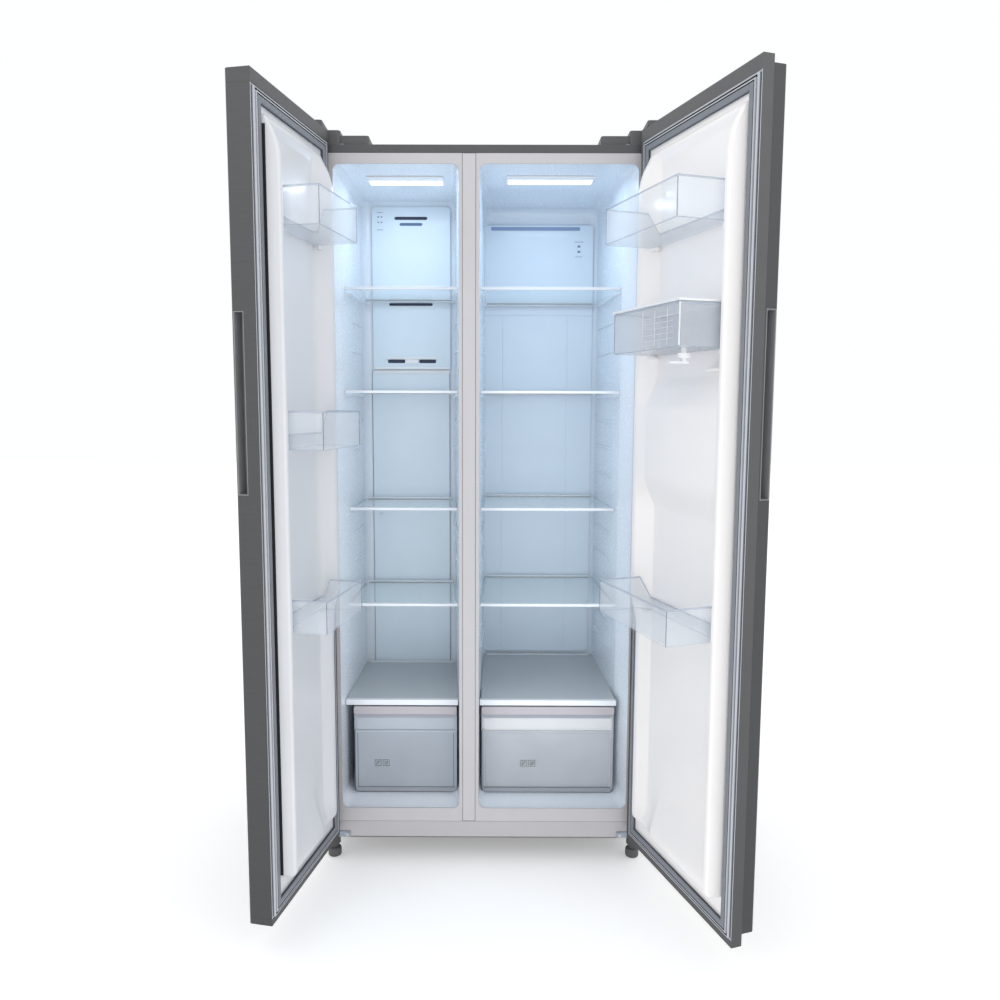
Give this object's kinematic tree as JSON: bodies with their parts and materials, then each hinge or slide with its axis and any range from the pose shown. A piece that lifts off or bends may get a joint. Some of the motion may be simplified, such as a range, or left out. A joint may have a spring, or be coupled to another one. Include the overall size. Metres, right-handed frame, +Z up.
{
  "type": "side by side refrigerator",
  "caption": "Side by side refrigerator with two hinged doors standing open, glass shelves, pull-out drawers, lift-out door bins and a water tank with a dispenser.",
  "frame": {"origin": "on the floor, below the middle of the cabinet's front edge", "axes": "+Z up, +X to the right seen from the front, +Y towards the back"},
  "size_m": [1.0321, 1.0177, 1.795],
  "materials": {
    "steel_body": "satin dark grey paint",
    "steel_left": "brushed dark grey",
    "steel_right": "brushed dark grey",
    "door_caps": "satin",
    "door_frame": "satin",
    "front_steel": "satin light grey",
    "rail_steel": "satin light grey",
    "mullion": "satin",
    "back_steel": "galvanised",
    "pan_steel": "black zinc",
    "cabinet_liner_left": "moulded white",
    "cabinet_liner_right": "moulded white",
    "foam": "rigid foam",
    "duct_left": "smooth",
    "duct_right": "smooth",
    "light_lens": "opal",
    "coil_metal": "bare",
    "motor": "matte",
    "fan_plastic": "matte",
    "compressor_black": "gloss black",
    "condenser_metal": "matte",
    "pan_plastic": "matte",
    "cover_steel": "perforated",
    "shelf_glass": "tempered glass",
    "shelf_trim": "white and silver",
    "hinge_steel": "zinc",
    "hinge_cover": "grained",
    "screw_steel": "zinc",
    "inlet": "matte",
    "foot_plastic": "matte",
    "roller_plastic": "matte",
    "drawer_clear": "tinted clear",
    "door_liner_left": "moulded white",
    "door_liner_right": "moulded white",
    "seal": "grey vinyl",
    "grip": "matte",
    "dispenser_black": "piano black",
    "bin_clear": "clear",
    "tank_clear": "clear",
    "lid_white": "white"
  },
  "bodies": {
    "cabinet": {"cabinet_shell": "steel_body", "back_panel": "back_steel", "base_pan": "pan_steel", "front_frame": "front_steel", "bottom_rail": "rail_steel", "mullion_cover": "mullion", "freezer_liner": "cabinet_liner_left", "fridge_liner": "cabinet_liner_right", "cabinet_foam": "foam", "freezer_duct_cover": "duct_left", "freezer_lower_panel": "duct_left", "fridge_duct_cover": "duct_right", "evaporator": "coil_metal", "fan_motors": "motor", "light_covers": "light_lens", "freezer_shelves": "shelf_glass", "fridge_shelves": "shelf_glass", "freezer_shelf_trims": "shelf_trim", "fridge_shelf_trims": "shelf_trim", "compressor": "compressor_black", "condenser": "condenser_metal", "drain_pan": "pan_plastic", "machine_cover": "cover_steel", "top_hinges": "hinge_steel", "lower_hinges": "hinge_steel", "hinge_covers": "hinge_cover", "screws": "screw_steel", "power_inlet": "inlet", "roller_axles": "screw_steel"},
    "left_door": {"left_door_skin": "steel_left", "left_door_caps": "door_caps", "left_door_liner": "door_liner_left", "left_door_gasket": "seal", "left_door_foam": "foam", "left_door_handle": "grip"},
    "right_door": {"right_door_panel": "steel_right", "right_door_frame": "door_frame", "right_door_liner": "door_liner_right", "right_door_gasket": "seal", "right_door_foam": "foam", "right_door_handle": "grip", "dispenser_housing": "dispenser_black"},
    "evaporator_fan_body": {"evaporator_fan": "fan_plastic"},
    "condenser_fan_body": {"condenser_fan": "fan_plastic"},
    "left_foot_body": {"left_foot": "foot_plastic"},
    "right_foot_body": {"right_foot": "foot_plastic"},
    "left_roller_body": {"left_roller": "roller_plastic"},
    "right_roller_body": {"right_roller": "roller_plastic"},
    "freezer_drawer_body": {"freezer_drawer": "drawer_clear"},
    "fridge_drawer_body": {"fridge_drawer": "drawer_clear"},
    "left_bin_top_body": {"left_bin_top": "bin_clear"},
    "left_bin_middle_body": {"left_bin_middle": "bin_clear"},
    "left_bin_bottom_body": {"left_bin_bottom": "bin_clear"},
    "dispenser_lever_body": {"dispenser_lever": "dispenser_black"},
    "drip_tray_body": {"drip_tray": "dispenser_black"},
    "right_bin_top_body": {"right_bin_top": "bin_clear"},
    "right_bin_bottom_body": {"right_bin_bottom": "bin_clear"},
    "water_tank_body": {"water_tank": "tank_clear"},
    "tank_lid_body": {"tank_lid": "lid_white"},
    "tap_valve_body": {"tap_valve": "lid_white"}
  },
  "joints": [
    {"name": "left_door_hinge", "type": "hinge", "parent": "cabinet", "child": "left_door", "pos_m": [-0.392, -0.0356, 0.9], "axis": [0, 0, -1], "range_deg": [-101.56, 23]},
    {"name": "right_door_hinge", "type": "hinge", "parent": "cabinet", "child": "right_door", "pos_m": [0.392, -0.0356, 0.9], "axis": [0, 0, 1], "range_deg": [-108.21, 16]},
    {"name": "freezer_drawer_slide", "type": "slide", "parent": "cabinet", "child": "freezer_drawer_body", "axis": [0, -1, 0], "range_m": [0, 0.24]},
    {"name": "fridge_drawer_slide", "type": "slide", "parent": "cabinet", "child": "fridge_drawer_body", "axis": [0, -1, 0], "range_m": [0, 0.24]},
    {"name": "evaporator_fan_spin", "type": "hinge", "parent": "cabinet", "child": "evaporator_fan_body", "pos_m": [-0.208, 0.424, 1.33], "axis": [0, -1, 0], "continuous": true},
    {"name": "condenser_fan_spin", "type": "hinge", "parent": "cabinet", "child": "condenser_fan_body", "pos_m": [0.105, 0.487, 0.16], "axis": [1, 0, 0], "continuous": true},
    {"name": "left_foot_screw", "type": "hinge", "parent": "cabinet", "child": "left_foot_body", "pos_m": [-0.383, 0.022, 0.03], "axis": [0, 0, 1], "continuous": true},
    {"name": "right_foot_screw", "type": "hinge", "parent": "cabinet", "child": "right_foot_body", "pos_m": [0.383, 0.022, 0.03], "axis": [0, 0, 1], "continuous": true},
    {"name": "left_roller_spin", "type": "hinge", "parent": "cabinet", "child": "left_roller_body", "pos_m": [-0.339, 0.52, 0.022], "axis": [1, 0, 0], "continuous": true},
    {"name": "right_roller_spin", "type": "hinge", "parent": "cabinet", "child": "right_roller_body", "pos_m": [0.339, 0.52, 0.022], "axis": [1, 0, 0], "continuous": true},
    {"name": "dispenser_lever_push", "type": "hinge", "parent": "right_door", "child": "dispenser_lever_body", "pos_m": [0.43136, -0.24036, 1.15], "axis": [-0.3125, 0.9499, 0], "range_deg": [0, 10], "stiffness_Nm_per_rad": 0.2, "springref_deg": -5.73},
    {"name": "drip_tray_slide", "type": "slide", "parent": "right_door", "child": "drip_tray_body", "axis": [0.9499, 0.3125, 0], "range_m": [0, 0.05]},
    {"name": "water_tank_lift", "type": "slide", "parent": "right_door", "child": "water_tank_body", "axis": [0, 0, 1], "range_m": [0, 0.03]},
    {"name": "tank_lid_hinge", "type": "hinge", "parent": "water_tank_body", "child": "tank_lid_body", "pos_m": [0.42495, -0.26247, 1.3537], "axis": [-0.3125, 0.9499, 0], "range_deg": [0, 70]},
    {"name": "tap_valve_press", "type": "slide", "parent": "water_tank_body", "child": "tap_valve_body", "axis": [0, 0, 1], "range_m": [0, 0.006], "stiffness_N_per_m": 300, "springref_m": -0.003},
    {"name": "left_bin_top_lift", "type": "slide", "parent": "left_door", "child": "left_bin_top_body", "axis": [0, 0, 1], "range_m": [0, 0.03]},
    {"name": "left_bin_middle_lift", "type": "slide", "parent": "left_door", "child": "left_bin_middle_body", "axis": [0, 0, 1], "range_m": [0, 0.03]},
    {"name": "left_bin_bottom_lift", "type": "slide", "parent": "left_door", "child": "left_bin_bottom_body", "axis": [0, 0, 1], "range_m": [0, 0.03]},
    {"name": "right_bin_top_lift", "type": "slide", "parent": "right_door", "child": "right_bin_top_body", "axis": [0, 0, 1], "range_m": [0, 0.03]},
    {"name": "right_bin_bottom_lift", "type": "slide", "parent": "right_door", "child": "right_bin_bottom_body", "axis": [0, 0, 1], "range_m": [0, 0.03]}
  ]
}
